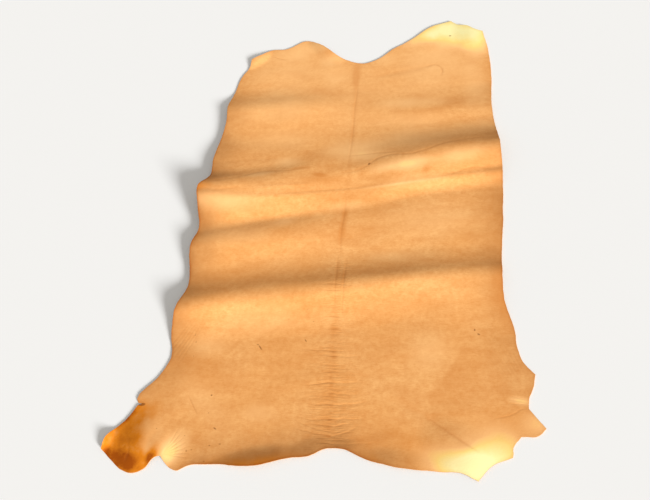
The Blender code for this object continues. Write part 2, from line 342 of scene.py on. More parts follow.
WRINKLE_SHARE = 0.44
WRINKLE_CURVE = 1.6
# The bottoms of the wrinkles get painted shade, darker left of the backbone, where the near wall is steep.
MEAN_DARKNESS = 0.42
DARKER_ON_THE_LEFT = 0.28
DARKEST_WRINKLE = 0.0014
DARKEST_FAN = 0.0010
GENTLE_SIDE = 3.2
WRINKLE_WANDER = 0.0016
WANDER_SIZE = 0.018
WANDER_SEED = 5.2
SPINE_HALF_WIDTH = 0.010


def wrinkle_line(row, x):
    """The y of a wrinkle's middle, and how far out along it a place is, with 1 at its end."""
    share = np.abs(x) / np.where(x < 0, row.left, row.right)
    return row.y + np.where(x < 0, row.left_rise, row.right_rise) * share**WRINKLE_CURVE, share


def bell(off, width):
    """One at the middle of a line, and less and less on both sides."""
    return np.exp(-((off / width) ** 2))


def wrinkle_depth(x, y):
    """How deep the growth wrinkles are, and how much painted shade darkens their bottoms.

    Left of the backbone the near wall is steep, and right of it the far wall is."""
    depth = np.zeros_like(x)
    dark = np.zeros_like(x)
    wander = WRINKLE_WANDER * noise_at(x, y, WANDER_SIZE, WANDER_SEED)
    rightness = np.clip(x / SPINE_HALF_WIDTH, -1, 1)
    near_width = WRINKLE_WIDTH * np.where(rightness > 0, 1 + (GENTLE_SIDE - 1) * rightness, 1)
    far_width = WRINKLE_WIDTH * np.where(rightness < 0, 1 - (GENTLE_SIDE - 1) * rightness, 1)
    for row in WRINKLES:
        middle, share = wrinkle_line(row, x)
        fade = np.clip(1 - share**2, 0, 1)
        off = y - middle + wander
        width = np.where(off < 0, near_width, far_width)
        depth += WRINKLE_SHARE * row.depth * fade * bell(off, width)
        darkness = row.depth / DARKEST_WRINKLE * (MEAN_DARKNESS - DARKER_ON_THE_LEFT * rightness)
        dark += darkness * fade * bell(off, WRINKLE_WIDTH)
    return depth, dark


# %% Knots where a wrinkle crosses the spine
KNOTS = (
    Oval("knot", -0.005, 0.031, 0.011, 0.005, 0, 1.1),
    Oval("knot", -0.006, 0.053, 0.01, 0.0042, 0, 0.9),
    Oval("knot", -0.005, 0.073, 0.008, 0.0042, 0, 0.9),
    Oval("knot", -0.005, 0.093, 0.007, 0.004, 0, 0.8),
    Oval("knot", -0.004, 0.109, 0.008, 0.0044, 0, 0.9),
    Oval("knot", -0.008, 0.142, 0.009, 0.0046, 0, 0.8),
    Oval("knot", -0.008, 0.168, 0.011, 0.0044, 10, 0.9),
    Oval("knot", -0.012, 0.188, 0.007, 0.0046, 0, 0.8),
    Oval("knot", -0.016, 0.205, 0.011, 0.0036, 0, 0.5),
    Oval("knot", -0.006, 0.246, 0.013, 0.006, 0, 0.9),
    Oval("knot", -0.01, 0.261, 0.009, 0.0044, 0, 0.7),
    Oval("knot", -0.012, 0.33, 0.022, 0.005, 0, 0.5),
    Oval("knot", -0.014, 0.366, 0.02, 0.004, 0, 0.5),
)

GROOVE_LIP = 0.12


def groove(off, width):
    """A small groove one deep at its middle, with a raised lip on each side."""
    return bell(off, width) - GROOVE_LIP * bell(np.abs(off) - 2 * width, width)


# %% [markdown]
# ## Creases and armpit wrinkles
#
# Where the legs join, the skin once stretched and gathered, and fans of fine wrinkles run into the armpits.
# A few single creases are handling marks. Both kinds are drawn here, each as a short line: the
# fans from a middle line and a spacing, and the creases from three or four points.

# %% Fans of wrinkles and single creases
Fan = namedtuple("Fan", "name x y half_length turned spread spacing count depth")
FANS = (
    Fan("right armpit", 0.448, 0.24, 0.06, 119, 2, 0.0095, 7, 0.00013),
    Fan("right shoulder", 0.405, 0.335, 0.055, 120, 2, 0.011, 4, 0.00009),
    Fan("left armpit", -0.452, 0.285, 0.08, 60, -2, 0.01, 6, 0.00016),
    Fan("left pinch", -0.418, -0.016, 0.036, 32, 12, 0.008, 7, 0.00024),
    Fan("right notch", 0.472, 0.138, 0.026, 172, 7, 0.008, 3, 0.0002),
)
# A crease's dark paints shade in its bottom.
Crease = namedtuple("Crease", "name points depth width dark")
CREASES = (
    Crease("right foreleg", ((0.408, 0.091), (0.437, 0.097), (0.46, 0.105), (0.48, 0.118),
         (0.494, 0.12)), 0.0002, 0.0018, 0.5),
    Crease("right cheek", ((0.14, 0.14), (0.2, 0.111), (0.25, 0.085), (0.302, 0.048),
         (0.352, 0.014)), 0.0008, 0.0085, 0.1),
    Crease("right cheek line", ((0.245, 0.09), (0.3, 0.052), (0.345, 0.022),
         (0.372, 0.006)), 0.0003, 0.003, 0.4),
    Crease("rump sweep", ((0.054, 1.298), (0.154, 1.319), (0.206, 1.329),
         (0.27, 1.341)), 0.0005, 0.01, 0.2),
    Crease("rump hook", ((0.24, 1.336), (0.28, 1.343), (0.298, 1.326), (0.301, 1.304),
         (0.294, 1.288)), 0.0003, 0.0036, 0.45),
    Crease("left fourth crest", ((-0.49, 0.828), (-0.377, 0.851), (-0.291, 0.878), (-0.195, 0.88),
         (-0.136, 0.893)), 0.0003, 0.005, 0.35),
    Crease("left third crest", ((-0.478, 0.806), (-0.434, 0.798), (-0.401, 0.801), (-0.351, 0.808),
         (-0.31, 0.814)), 0.0003, 0.005, 0.3),
    Crease("left third welt", ((-0.318, 0.795), (-0.251, 0.808), (-0.187, 0.815),
         (-0.11, 0.821)), -0.0005, 0.006, 0),
    Crease("long third welt", ((-0.27, 0.772), (-0.199, 0.775), (-0.101, 0.786), (0.001, 0.797),
         (0.117, 0.811), (0.195, 0.819), (0.287, 0.831), (0.348, 0.84),
         (0.445, 0.848)), -0.0003, 0.005, 0),
    Crease("long third line", ((-0.276, 0.786), (-0.217, 0.786), (-0.121, 0.795), (-0.01, 0.805),
         (0.06, 0.812)), 0.0002, 0.0032, 0.25),
    Crease("right third line", ((0.288, 0.845), (0.334, 0.851), (0.364, 0.861), (0.395, 0.868),
         (0.434, 0.863), (0.468, 0.85)), 0.0003, 0.0034, 0.4),
    Crease("right fourth crest", ((-0.05, 0.858), (0, 0.866), (0.036, 0.875), (0.064, 0.893),
         (0.09, 0.916), (0.125, 0.927), (0.201, 0.925), (0.242, 0.936), (0.305, 0.962), (0.36, 0.972),
         (0.425, 0.977), (0.468, 0.966)), 0.0003, 0.0036, 0.45),
    Crease("right fourth line", ((-0.017, 0.936), (0.049, 0.939), (0.114, 0.941),
         (0.17, 0.938)), 0.0002, 0.0028, 0.35),
    Crease("far spine", ((-0.002, 1.29), (0.004, 1.239), (0.001, 1.17), (0, 1.055), (-0.002, 0.958),
         (-0.009, 0.87)), 0.0002, 0.003, 0.25),
    Crease("near spine", ((-0.006, 0.8), (-0.006, 0.728), (-0.013, 0.646),
         (-0.009, 0.543)), 0.0002, 0.003, 0.25),
    Crease("spine left of withers", ((-0.018, 0.59), (-0.016, 0.48),
         (-0.014, 0.38)), 0.0002, 0.0022, 0.25),
    Crease("spine right of withers", ((0.008, 0.56), (0.009, 0.47), (0.006, 0.35)), 0.0002, 0.0022, 0.22),
    Crease("left shoulder scratch", ((-0.408, 0.128), (-0.392, 0.104),
         (-0.372, 0.076)), 0.0005, 0.0016, 0.5),
    Crease("left foreleg line", ((-0.56, 0.01), (-0.545, -0.03), (-0.552, -0.06)), 0.0003, 0.0034, 0.2),
    Crease("left rump line", ((-0.33, 1.445), (-0.3, 1.43), (-0.27, 1.42)), 0.0004, 0.0026, 0.4),
    Crease("left foot", ((-0.47, 0.93), (-0.3, 0.938), (-0.18, 0.932)), 0.0002, 0.007, 0),
)


def smooth_line(points, steps):
    """A traced line as evenly spaced points on the smooth curve through it."""
    points = np.array(points)
    at = np.concatenate([[0], np.cumsum(np.linalg.norm(np.diff(points, axis=0), axis=1))])
    return smooth(at, points, np.linspace(0, at[-1], steps + 1))


def beside_line(line, x, y):
    """How far each place is from a line, how far along it, from 0 to 1, and whether it is on the left."""
    step = np.diff(line, axis=0)
    away = np.stack([x, y], axis=1)[:, None] - line[None, :-1]
    share = np.clip((away * step).sum(axis=2) / (step**2).sum(axis=1), 0, 1)
    distance = np.linalg.norm(away - share[..., None] * step, axis=2)
    nearest = distance.argmin(axis=1)
    row = np.arange(len(x))
    heading, aside = step[nearest], away[row, nearest]
    left = heading[:, 0] * aside[:, 1] > heading[:, 1] * aside[:, 0]
    return distance[row, nearest], (nearest + share[row, nearest]) / len(step), left


def fan_lines(fan):
    """Each wrinkle of a fan as its middle and its direction."""
    side = radians(fan.turned + 90)
    for k in range(fan.count):
        place = k - (fan.count - 1) / 2
        angle = radians(fan.turned + place * fan.spread)
        middle = (fan.x + cos(side) * place * fan.spacing, fan.y + sin(side) * place * fan.spacing)
        yield middle, (cos(angle), sin(angle))


def ends_fade(along, sharpness):
    """One along most of a line, and nothing at its two ends."""
    return np.clip(1 - np.abs(2 * along - 1) ** sharpness, 0, 1)


CREASE_STEPS = 40
CREASE_REACH = 3.5
CREASE_ENDS = 4


def crease_depth(x, y):
    """How deep the fans and creases are, and how much painted shade darkens their bottoms."""
    depth = np.zeros_like(x)
    dark = np.zeros_like(x)
    for fan in FANS:
        for (middle_x, middle_y), (c, s) in fan_lines(fan):
            along = c * (x - middle_x) + s * (y - middle_y)
            off = c * (y - middle_y) - s * (x - middle_x)
            fade = np.clip(1 - (along / fan.half_length) ** 2, 0, 1)
            depth += fan.depth * fade * groove(off, WRINKLE_WIDTH)
            dark += fan.depth / DARKEST_FAN * fade * bell(off, WRINKLE_WIDTH)
    for crease in CREASES:
        line = smooth_line(crease.points, CREASE_STEPS)
        reach = CREASE_REACH * crease.width
        near = (x > line[:, 0].min() - reach) & (x < line[:, 0].max() + reach)
        near &= (y > line[:, 1].min() - reach) & (y < line[:, 1].max() + reach)
        off, along, _ = beside_line(line, x[near], y[near])
        fade = ends_fade(along, CREASE_ENDS)
        depth[near] += crease.depth * fade * groove(off, crease.width)
        dark[near] += crease.dark * fade * bell(off, crease.width)
    return depth, dark


# %% [markdown]
# ## Marks
#
# Insect bites, healed scratches and a hole or two are normal on a natural hide, and tell it from a plastic
# sheet. They are small, so each is one oval a few millimetres long that darkens the grain.

# %% Healed scratches and specks
MARKS = (
    Oval("scar", -0.22, 0.271, 0.016, 0.0035, 128, 0.9),
    Oval("scar end", -0.229, 0.28, 0.005, 0.0035, 10, 0.7),
    Oval("speck", -0.34, 0.13, 0.0045, 0.004, 0, 1),
    Oval("speck", -0.34, 0.081, 0.0035, 0.0028, 0, 0.7),
    Oval("scratch", -0.315, 0.04, 0.009, 0.0035, 150, 0.9),
    Oval("speck", -0.297, 0.072, 0.003, 0.0028, 0, 0.5),
    Oval("speck", -0.396, 0.018, 0.0035, 0.0028, 0, 0.6),
    Oval("speck", -0.383, -0.022, 0.0045, 0.003, 20, 0.8),
    Oval("speck", -0.37, -0.018, 0.004, 0.0028, 0, 0.7),
    Oval("speck", -0.322, -0.005, 0.005, 0.0028, 0, 0.8),
    Oval("speck", -0.294, 0, 0.006, 0.0028, 0, 0.8),
    Oval("speck", -0.33, -0.046, 0.006, 0.0035, 0, 0.6),
    Oval("speck", -0.478, 0.033, 0.0035, 0.003, 0, 0.7),
    Oval("scratch", -0.42, 0.306, 0.006, 0.003, 80, 0.8),
    Oval("scratch", -0.415, 0.285, 0.006, 0.003, 100, 0.7),
    Oval("scratch", -0.414, 0.242, 0.006, 0.003, 95, 0.5),
    Oval("scratch", -0.091, 0.294, 0.01, 0.003, 125, 0.8),
    Oval("speck", -0.092, 0.386, 0.0045, 0.003, 0, 0.6),
    Oval("speck", -0.073, 0.35, 0.0045, 0.0026, 0, 0.6),
    Oval("speck", -0.146, 0.356, 0.003, 0.0026, 0, 0.5),
    Oval("speck", 0.373, 0.33, 0.0055, 0.004, 90, 0.9),
    Oval("speck", 0.383, 0.318, 0.007, 0.004, 150, 0.9),
    Oval("speck", 0.158, 0.108, 0.005, 0.0035, 0, 0.4),
    Oval("speck", 0.12, 0.338, 0.0035, 0.0028, 0, 0.4),
    Oval("speck", 0.064, 0.895, 0.009, 0.006, 60, 1),
    Oval("speck", 0.332, 1.485, 0.008, 0.006, 0, 0.8),
    Oval("tear", -0.539, 0.098, 0.015, 0.006, 5, 1.8),
)

# %% [markdown]
# ## Soft changes of colour, painted shade and painted light
#
# Vegetable-tanned leather darkens where it was handled, sunned or oiled. The left foreleg is toasted
# brown, and the flanks are deeper orange within a hand's breadth of the edge. Other ovals paint light and
# shade into the colour: painted shade along the folds and at the neck edge, painted highlights on the
# crests, and a painted glow of light on two corners, the right cheek and the rump's right corner.
# These are broad and soft, so they are stored on the mesh's points and read by the material.

# %% Broad ovals of tone, painted shade and painted light
BROWNING_AND_SHADE = (
    Oval("left foreleg", -0.57, -0.005, 0.13, 0.08, 98, 2.2),
    Oval("left foreleg bottom", -0.545, -0.06, 0.095, 0.056, 172, 1.8),
    Oval("left foreleg root", -0.505, 0.078, 0.05, 0.04, 60, 0.5),
    Oval("left foreleg glow", -0.492, 0.015, 0.09, 0.038, 98, 0.22),
    # This negative row paints a highlight on the left foreleg's curled rim.
    Oval("left foreleg bright rim", -0.642, 0.004, 0.06, 0.024, 66, -1.5),
    Oval("left foreleg top", -0.56, 0.064, 0.07, 0.046, 58, 1.3),
    Oval("pinch", -0.474, -0.036, 0.045, 0.024, 66, 0.9),
    # The three neck edge rows paint a warm shade on the slopes of the lifted neck edge.
    Oval("neck edge left of spine", -0.12, -0.04, 0.12, 0.038, 8, 0.42),
    Oval("neck edge right of spine", 0.11, -0.022, 0.06, 0.022, 165, 0.25),
    Oval("neck edge far left", -0.24, -0.056, 0.15, 0.04, 6, 0.62),
    Oval("right foreleg", 0.455, 0.085, 0.14, 0.095, 20, 0.24),
    Oval("behind the right cheek", 0.24, 0.012, 0.15, 0.065, 160, 0.24),
    # The two fold rows paint shade by the third and second folds at the left edge.
    Oval("by the third fold", -0.5, 0.812, 0.07, 0.028, 10, 0.4),
    Oval("by the second fold", -0.49, 0.64, 0.045, 0.03, 20, 0.32),
)
BURNT = (
    Oval("left foreleg lobe", -0.562, -0.05, 0.08, 0.036, 160, 1.5),
    Oval("left foreleg corner", -0.6, -0.048, 0.045, 0.03, 140, 0.8),
    Oval("left foreleg knife edge", -0.578, 0.058, 0.07, 0.018, 48, 0.95),
    Oval("pinch", -0.476, -0.046, 0.034, 0.02, 74, 1.3),
)
# Painted light, with some paler leather: highlights along the fold crests, lightened fold slopes, and a
# painted glow of light on the right cheek, the right neck and the rump's right corner.
PAINTED_LIGHT_AND_PALENESS = (
    Oval("left foreleg glow", -0.492, 0.01, 0.085, 0.044, 98, 0.34),
    Oval("right cheek wide", 0.4, 0.02, 0.2, 0.1, 22, 0.42),
    Oval("third crest", 0.175, 0.8185, 0.2, 0.007, 7, 0.4),
    Oval("right cheek", 0.352, -0.04, 0.11, 0.065, 168, 1.5),
    Oval("right cheek spread", 0.398, -0.008, 0.105, 0.06, 30, 1.15),
    Oval("right cheek halo", 0.4, 0.025, 0.11, 0.06, 35, 0.3),
    Oval("right neck", 0.285, -0.018, 0.1, 0.052, 165, 0.75),
    Oval("right rump corner", 0.35, 1.515, 0.18, 0.115, 160, 1.4),
    Oval("right rump edge", 0.42, 1.45, 0.12, 0.07, 98, 0.85),
    Oval("right rump far edge", 0.265, 1.5, 0.16, 0.05, 22, 0.8),
    Oval("right of the rump", 0.29, 1.4, 0.26, 0.2, 90, 0.4),
    Oval("whole rump", 0.02, 1.25, 0.42, 0.33, 0, 0.2),
    Oval("past the fourth fold", 0.2, 1.085, 0.19, 0.045, 0, 0.22),
    Oval("down the fourth fold", 0.215, 1, 0.19, 0.08, 0, 0.42),
    Oval("down the fourth fold right", 0.4, 1.035, 0.12, 0.05, 8, 0.28),
    Oval("foot of the fourth fold", 0.01, 0.965, 0.16, 0.065, 0, 0.5),
    Oval("left of the fourth fold", -0.21, 0.92, 0.07, 0.035, 0, 0.45),
    Oval("third band on the right", 0.19, 0.825, 0.13, 0.04, 6, 0.24),
    Oval("right loin", 0.26, 0.69, 0.2, 0.09, 0, 0.22),
    Oval("rump middle", -0.08, 1.32, 0.1, 0.07, 90, 0.2),
    Oval("on the fourth fold", 0.19, 0.888, 0.11, 0.036, 8, 0.75),
    Oval("on the fourth fold right", 0.35, 0.91, 0.12, 0.04, 8, 0.4),
    Oval("left of the rump", -0.28, 1.18, 0.21, 0.15, 0, 0.3),
    Oval("left of the rump far", -0.27, 1.37, 0.22, 0.13, 0, 0.3),
    Oval("left rump far edge", -0.2, 1.48, 0.19, 0.08, 15, 0.5),
    Oval("left past the fourth fold", -0.25, 1.02, 0.2, 0.075, 0, 0.26),
    Oval("left cheek", -0.425, -0.022, 0.08, 0.052, 60, 0.85),
    Oval("left shoulder glow", -0.36, 0.11, 0.15, 0.06, 140, 0.18),
    Oval("left loin", -0.35, 0.64, 0.16, 0.06, 0, 0.25),
    Oval("third band on the left", -0.4, 0.76, 0.16, 0.05, 175, 0.46),
    Oval("right chest", 0.255, 0.265, 0.09, 0.08, 40, 0.26),
    Oval("right foreleg notch", 0.48, 0.138, 0.04, 0.016, 172, 0.8),
    Oval("right foreleg", 0.515, 0.085, 0.06, 0.045, 20, 0.45),
    Oval("behind the fourth fold", 0.06, 0.925, 0.13, 0.04, 0, 0.22),
    Oval("by the spine at the second fold", 0, 0.742, 0.08, 0.026, 8, 0.24),
    Oval("second fold on the left", -0.2, 0.685, 0.06, 0.025, 10, 0.4),
    Oval("right rump flank", 0.41, 1.23, 0.17, 0.07, 90, 0.34),
    Oval("left chest flank", -0.38, 0.275, 0.08, 0.05, 0, 0.3),
    Oval("behind the first fold", 0.15, 0.56, 0.13, 0.032, 0, 0.26),
    Oval("fourth crest left", -0.3, 0.864, 0.075, 0.02, 6, 0.4),
    Oval("fourth crest middle", 0.105, 0.875, 0.055, 0.03, 14, 0.4),
    Oval("across the rump", 0.2, 1.165, 0.17, 0.035, 0, 0.35),
    Oval("left neck", -0.2, 0.085, 0.08, 0.04, 0, 0.3),
    Oval("left chest", -0.23, 0.35, 0.17, 0.06, 4, 0.2),
    Oval("left of the tail", -0.1, 1.4, 0.07, 0.045, 0, 0.35),
    Oval("right of the tail", 0.1, 1.39, 0.065, 0.05, 0, 0.32),
)
# The rows on, before, under, along and left of a fold or crest paint shade along the folds. The other rows
# darken the leather along the backbone, the flanks and in patches.
SHADED = (
    Oval("right shoulder", 0.37, 0.15, 0.12, 0.11, 60, 0.2),
    Oval("left shoulder", -0.37, 0.19, 0.18, 0.08, 165, 0.36),
    Oval("right flank", 0.51, 0.56, 0.48, 0.13, 90, 0.45),
    Oval("tail root", -0.003, 1.335, 0.075, 0.03, 88, 0.8),
    Oval("tail root smudge", -0.004, 1.288, 0.065, 0.018, 92, 0.85),
    Oval("loin streak", -0.009, 0.67, 0.095, 0.018, 86, 0.8),
    Oval("loin streak head", -0.006, 0.722, 0.03, 0.018, 90, 0.6),
    Oval("withers streak", -0.012, 0.5, 0.07, 0.012, 92, 0.6),
    Oval("withers streak right", 0.006, 0.485, 0.05, 0.012, 88, 0.6),
    Oval("neck spine", -0.012, 0.15, 0.23, 0.032, 91, 0.28),
    Oval("neck spine far", -0.01, 0.33, 0.16, 0.02, 91, 0.35),
    Oval("withers smudge", -0.01, 0.33, 0.05, 0.014, 0, 0.4),
    Oval("back line", 0.001, 1.06, 0.42, 0.016, 90, 0.45),
    Oval("notch fold", 0.43, 0.18, 0.07, 0.03, 120, 0.25),
    Oval("on the fourth crest", -0.095, 0.858, 0.036, 0.013, 172, 1.25),
    Oval("on the fourth crest left", -0.158, 0.888, 0.05, 0.01, 4, 0.8),
    Oval("before the fourth fold", -0.08, 0.838, 0.1, 0.026, 175, 0.7),
    Oval("right flank by the first fold", 0.458, 0.44, 0.14, 0.055, 90, 0.6),
    Oval("under the first fold", -0.28, 0.496, 0.22, 0.046, 6, 0.42),
    Oval("left of the first fold", -0.33, 0.448, 0.15, 0.045, 10, 0.28),
    Oval("under the second fold", 0.03, 0.635, 0.13, 0.048, 4, 0.38),
    Oval("along the second fold", -0.13, 0.652, 0.17, 0.036, 10, 0.34),
    Oval("along the first fold on the right", 0.14, 0.515, 0.17, 0.038, 6, 0.22),
    Oval("right of the rump line", 0.205, 1.34, 0.065, 0.032, 0, 0.25),
    Oval("left shoulder by the neck", -0.3, 0.055, 0.06, 0.055, 0, 0.3),
    Oval("neck right of spine", 0.1, 0.022, 0.065, 0.034, 0, 0.5),
    Oval("across the chest", 0.06, 0.265, 0.22, 0.042, 0, 0.22),
    Oval("right armpit", 0.412, 0.262, 0.05, 0.042, 0, 0.3),
    Oval("right neck", 0.2, 0.14, 0.065, 0.042, 0, 0.28),
    Oval("fourth fold patch", 0.245, 0.866, 0.02, 0.022, 0, 0.8),
    Oval("rump patch left", -0.215, 1.343, 0.06, 0.03, 150, 0.6),
    Oval("rump patch", -0.12, 1.25, 0.11, 0.03, 8, 0.4),
    Oval("rump patch right", 0.34, 1.168, 0.085, 0.028, 6, 0.6),
    Oval("rump patch far right", 0.405, 1.35, 0.04, 0.035, 90, 0.5),
)
RIBBED = (
    Oval("neck", 0, 0.12, 0.26, 0.11, 90, 1),
    Oval("withers", 0, 0.43, 0.24, 0.07, 90, 0.8),
)
EDGE_TANNED = (
    Oval("left flank", -0.49, 0.66, 0.9, 0.3, 90, 1),
    Oval("right flank", 0.48, 0.6, 0.85, 0.3, 90, 0.52),
    Oval("neck edge", -0.08, -0.04, 0.42, 0.2, 0, 1.1),
    Oval("left cheek", -0.34, -0.06, 0.09, 0.05, 0, 0.5),
)

# %% Shade that starts at a line and fades away on its left
Veil = namedtuple("Veil", "name points reach amount")
VEILS = (
    Veil("shoulder patch", ((0.335, 0.3), (0.327, 0.264), (0.287, 0.205), (0.245, 0.134),
         (0.253, 0.083)), 0.15, 0.54),
    Veil("right cheek", ((0.14, 0.14), (0.2, 0.111), (0.257, 0.07), (0.325, 0.021),
         (0.372, 0)), 0.045, 0.35),
)
VEIL_EDGE = 0.010
VEIL_FADE = 1.5
VEIL_ENDS = 3


def veils(x, y):
    """The sum of the shades, each strongest along its line and none on the line's right."""
    total = np.zeros_like(x)
    for veil in VEILS:
        line = smooth_line(veil.points, CREASE_STEPS)
        off, along, left = beside_line(line, x, y)
        rising = np.clip(off / VEIL_EDGE, 0, 1)
        fading = np.clip(1 - off / veil.reach, 0, 1) ** VEIL_FADE
        total += veil.amount * left * rising * fading * ends_fade(along, VEIL_ENDS)
    return total


# %% [markdown]
# ## Points for the skin
#
# Three surfaces make the sheet: the grain on top, the flesh side below and the cut edge between them. Top
# and bottom share the rim. Across a wrinkle the grain needs points every 1 or 2 mm, and on a plain panel
# every 8 mm. So strands of points are laid along every wrinkle and crease first, and a coarse grid fills
# the rest. Along a strand the triangles follow the crease, where a grid would make it look like saw teeth.

# %% Tell which points are inside the rim
POINTS_AT_ONCE = 2000


def inside(points, ring):
    start = ring[None]
    step = np.roll(ring, -1, axis=0)[None] - start
    rise = np.where(step[..., 1] == 0, 1, step[..., 1])
    found = []
    for some in np.array_split(points, len(points) // POINTS_AT_ONCE + 1):
        y = some[:, None, 1]
        passes = (start[..., 1] > y) != ((start + step)[..., 1] > y)
        meets = start[..., 0] + (y - start[..., 1]) * step[..., 0] / rise
        found.append((passes & (some[:, None, 0] < meets)).sum(axis=1) % 2 == 1)
    return np.concatenate(found)


# %% Lay strands of points along every wrinkle and crease
WRINKLE_ROWS = (-3.0, -1.7, -0.8, 0.0, 0.8, 1.7, 3.0)
CREASE_ROWS = (-3.0, -2.0, -1.2, -0.55, 0.0, 0.55, 1.2, 2.0, 3.0)
STRAND_STEP = 0.0045
STRAND_GAP = 0.0011
SOFT_CREASE = 0.0080


def strand(line, offsets):
    """Rows of points along a line and beside it."""
    along = np.gradient(line, axis=0)
    along /= np.linalg.norm(along, axis=1)[:, None]
    beside = np.stack([-along[:, 1], along[:, 0]], axis=1)
    return np.concatenate([line + offset * beside for offset in offsets])


def strands():
    """Points beside all wrinkles and all creases that are narrow."""
    rows = []
    for crease in CREASES:
        if crease.width < SOFT_CREASE:
            length = np.linalg.norm(np.diff(np.array(crease.points), axis=0), axis=1).sum()
            line = smooth_line(crease.points, int(length / STRAND_STEP) + 1)
            rows.append(strand(line, crease.width * np.array(CREASE_ROWS)))
    for wrinkle in WRINKLES:
        x = np.arange(-wrinkle.left, wrinkle.right, STRAND_STEP)
        y = wrinkle_line(wrinkle, x)[0]
        y -= WRINKLE_WANDER * noise_at(x, y, WANDER_SIZE, WANDER_SEED)
        rows.append(strand(np.stack([x, y], axis=1), WRINKLE_WIDTH * np.array(WRINKLE_ROWS)))
    for fan in FANS:
        along = np.arange(-fan.half_length, fan.half_length, STRAND_STEP)
        for middle, heading in fan_lines(fan):
            line = np.array(middle) + along[:, None] * np.array(heading)
            rows.append(strand(line, WRINKLE_WIDTH * np.array(WRINKLE_ROWS)))
    return np.concatenate(rows)


def thinned(points, gap):
    """The points in order, without those closer than the gap to one already kept."""
    kept = {}
    for place in points:
        column, row = (int(v // gap) for v in place)
        near = [kept.get((column + a, row + b)) for a in (-1, 0, 1) for b in (-1, 0, 1)]
        if all(other is None or hypot(*(place - other)) > gap for other in near):
            kept[(column, row)] = place
    return np.array(list(kept.values()))


# %% Lay a grid whose cells are divided where the surface is busy
CREST_NAMES = ("second trough", "third crest", "dip", "fourth crest", "fourth shelf")
CREST_BAND = 0.018
RIM_BAND = 0.010
STRAND_BAND = 0.012
STRAND_CLEARANCE = 0.0026
BEND_LIFT = 0.004
MARK_BAND = 0.005
STAGGER = 0.25
RIM_CLEARANCE = EDGE_STEP * 0.6


def distance_to(points, others):
    tree = KDTree(len(others))
    for k, (x, y) in enumerate(others):
        tree.insert((x, y, 0), k)
    tree.balance()
    return np.array([tree.find((x, y, 0))[2] for x, y in points])


def fineness(points, ring, lines):
    """How often each cell of the grain's grid is divided: once, twice or four times."""
    x, y = points.T
    level = np.ones(len(points), int)
    for bend in BENDS:
        if bend.name in CREST_NAMES:
            level[np.abs(y - smooth(STATIONS, bend.y, x)) < CREST_BAND] = 2
    level[distance_to(points, ring) < RIM_BAND] = 2
    level[distance_to(points, lines) < STRAND_BAND] = 2
    level[ovals(LIFTS, x, y) > BEND_LIFT] = 2
    for mark in MARKS:
        level[np.hypot(x - mark.x, y - mark.y) < mark.half_length + MARK_BAND] = 4
    return level


def grid_points(ring, cell, level_of):
    low_corner, high_corner = ring.min(axis=0), ring.max(axis=0)
    columns = np.arange(low_corner[0], high_corner[0] + cell, cell)
    rows = np.arange(low_corner[1], high_corner[1] + cell, cell)
    cells = np.stack(np.meshgrid(columns, rows), axis=-1).reshape(-1, 2)
    levels = level_of(cells)
    points = []
    for level in (1, 2, 4):
        step = cell / level
        offsets = (np.arange(level) + 0.5) * step - cell / 2
        parts = np.stack(np.meshgrid(offsets, offsets), axis=-1).reshape(1, -1, 2)
        spots = (cells[levels == level][:, None] + parts).reshape(-1, 2)
        row = np.round((spots[:, 1] - rows[0]) / step)
        spots[:, 0] += np.where(row % 2 == 0, STAGGER, -STAGGER) * step
        points.append(spots)
    return np.concatenate(points)


def within(points, ring):
    """The points inside the rim and a little clear of it."""
    points = points[inside(points, ring)]
    return points[distance_to(points, ring) > RIM_CLEARANCE]


def triangulate(ring, points):
    rim_edges = [(k, (k + 1) % len(ring)) for k in range(len(ring))]
    every = np.concatenate([ring, points])
    found = delaunay_2d_cdt([Vector(place) for place in every], rim_edges, [], 0, 1e-7, False)
    flat = np.array([tuple(place) for place in found[0]])
    faces = np.array([tuple(face) for face in found[2]])
    return flat, faces[inside(flat[faces].mean(axis=1), ring)]


GRAIN_CELL = 0.008
FLESH_CELL = 0.012
lines = thinned(within(strands(), rim), STRAND_GAP)
grid = within(grid_points(rim, GRAIN_CELL, lambda cells: fineness(cells, rim, lines)), rim)
grain_points = np.concatenate([lines, grid[distance_to(grid, lines) > STRAND_CLEARANCE]])
flesh_points = within(grid_points(rim, FLESH_CELL, lambda cells: np.ones(len(cells), int)), rim)
print("points along wrinkles and creases:", len(lines), "on the grid:", len(grid))
grain_flat, grain_faces = triangulate(rim, grain_points)
flesh_flat, flesh_faces = triangulate(rim, flesh_points)
print("grain triangles:", len(grain_faces), "flesh triangles:", len(flesh_faces))

# %% [markdown]
# ## Join the three surfaces
#
# The grain lies one thickness above the flesh side, measured square to the skin, so it stands a little
# further off on a slope. The knife leaves a cut edge whose upper corner is barely rounded. Four rows of
# points run round the rim: the flesh side's, two on the cut and the grain's.

# %% Heights of both sides
SLOPE_STEP = 0.0005
MOST_STRETCH = 1.5


def slope_stretch(x, y):
    """How much further the grain is from the flesh side on a slope, measured upright."""
    run = (underside(x + SLOPE_STEP, y) - underside(x - SLOPE_STEP, y)) / (2 * SLOPE_STEP)
    rise = (underside(x, y + SLOPE_STEP) - underside(x, y - SLOPE_STEP)) / (2 * SLOPE_STEP)
    return np.minimum(np.sqrt(1 + run**2 + rise**2), MOST_STRETCH)


def grain_height(x, y):
    depth = wrinkle_depth(x, y)[0] + crease_depth(x, y)[0]
    return underside(x, y) + THICKNESS * slope_stretch(x, y) - depth


# %% Build the sheet
EDGE_ROUND = 0.0005


def lifted(flat, height):
    return np.column_stack([flat + backbone_and_neck, height])


